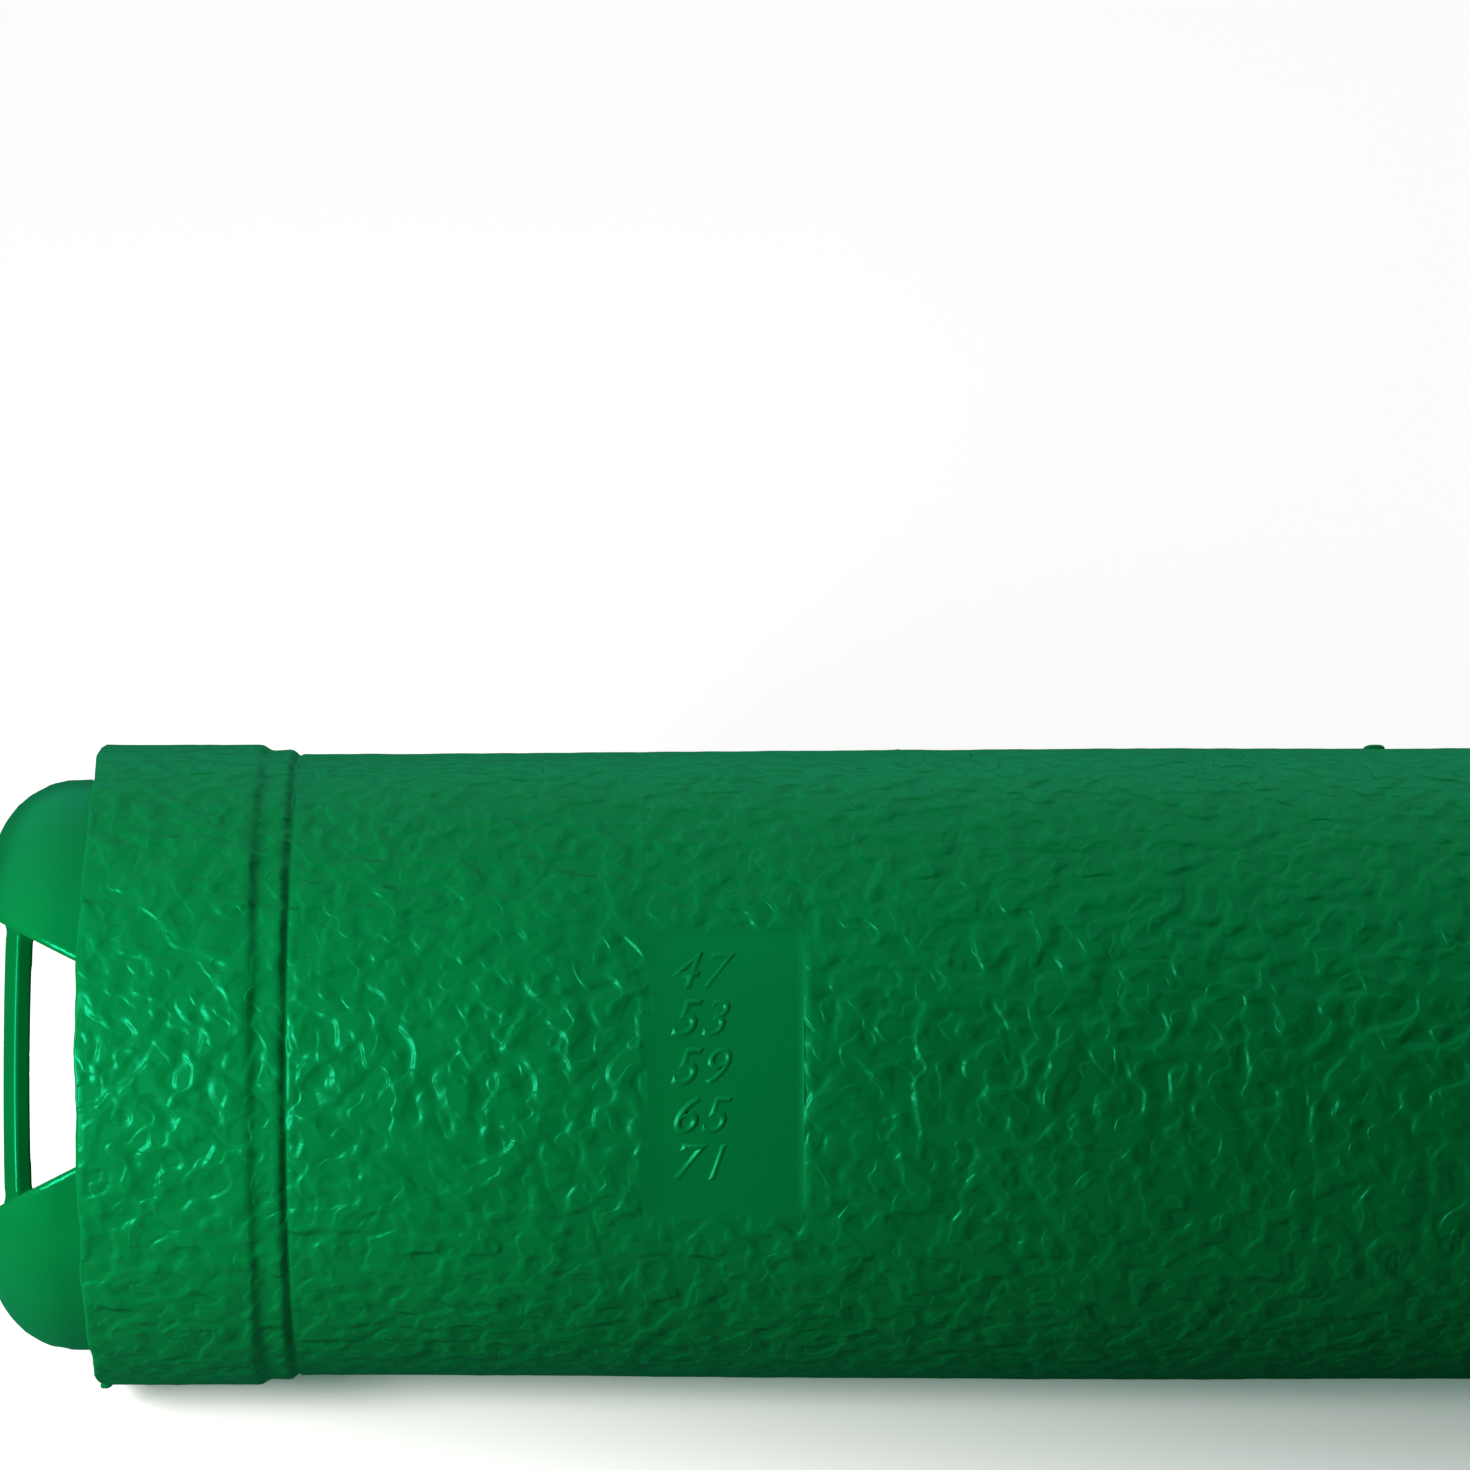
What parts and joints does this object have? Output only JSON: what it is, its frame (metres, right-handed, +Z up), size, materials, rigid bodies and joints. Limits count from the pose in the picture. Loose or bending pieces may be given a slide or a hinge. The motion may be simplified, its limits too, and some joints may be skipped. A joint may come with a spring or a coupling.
{
  "type": "telescopic poster tube",
  "caption": "Green plastic telescopic tube for posters and drawings: an inner tube slides in an outer one, and each closed end has a strap bar.",
  "frame": {"origin": "on the floor under the tubes' axis, half way along the closed tube", "axes": "+X along the tubes from the outer tube's mouth to its closed end, +Z up from the floor it lies on; the strap bars lean 30 degrees from +Z towards +Y"},
  "size_m": [0.4658, 0.0926, 0.0927],
  "materials": {
    "grained_plastic": "leather grain, satin",
    "smooth_plastic": "smooth, satin"
  },
  "bodies": {
    "outer": {"outer_tube": "grained_plastic"},
    "inner": {"inner_tube": "smooth_plastic"}
  },
  "joints": [
    {"name": "extend", "type": "slide", "parent": "outer", "child": "inner", "axis": [-1, 0, 0], "range_m": [0, 0.27]}
  ]
}
